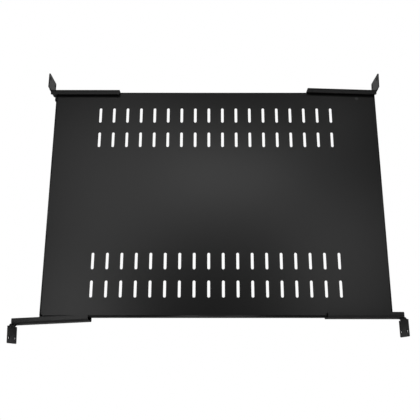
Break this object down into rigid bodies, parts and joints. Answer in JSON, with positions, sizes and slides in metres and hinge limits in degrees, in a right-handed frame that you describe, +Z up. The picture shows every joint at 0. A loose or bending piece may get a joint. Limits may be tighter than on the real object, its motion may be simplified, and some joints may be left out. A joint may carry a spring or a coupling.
{
  "type": "vented rack shelf",
  "caption": "Slotted flat rack shelf of folded black sheet, held at its corners by channel-shaped brackets with mounting ears that adjust in depth.",
  "frame": {"origin": "centre of the deck's top face", "axes": "+X along the rack's depth, which is the deck's long side, +Y across the rack, +Z up"},
  "size_m": [0.6667, 0.4936, 0.0436],
  "materials": {
    "deck_coat": "satin powder coat",
    "bracket_coat": "satin powder coat",
    "fastener_steel": "zinc plated"
  },
  "bodies": {
    "root": {"deck": "deck_coat", "stiffener": "deck_coat", "bracket_near_left": "bracket_coat", "screws_near_left": "fastener_steel", "washers_near_left": "fastener_steel", "bracket_near_right": "bracket_coat", "screws_near_right": "fastener_steel", "washers_near_right": "fastener_steel", "bracket_far_left": "bracket_coat", "screws_far_left": "fastener_steel", "washers_far_left": "fastener_steel", "bracket_far_right": "bracket_coat", "screws_far_right": "fastener_steel", "washers_far_right": "fastener_steel"}
  },
  "joints": []
}
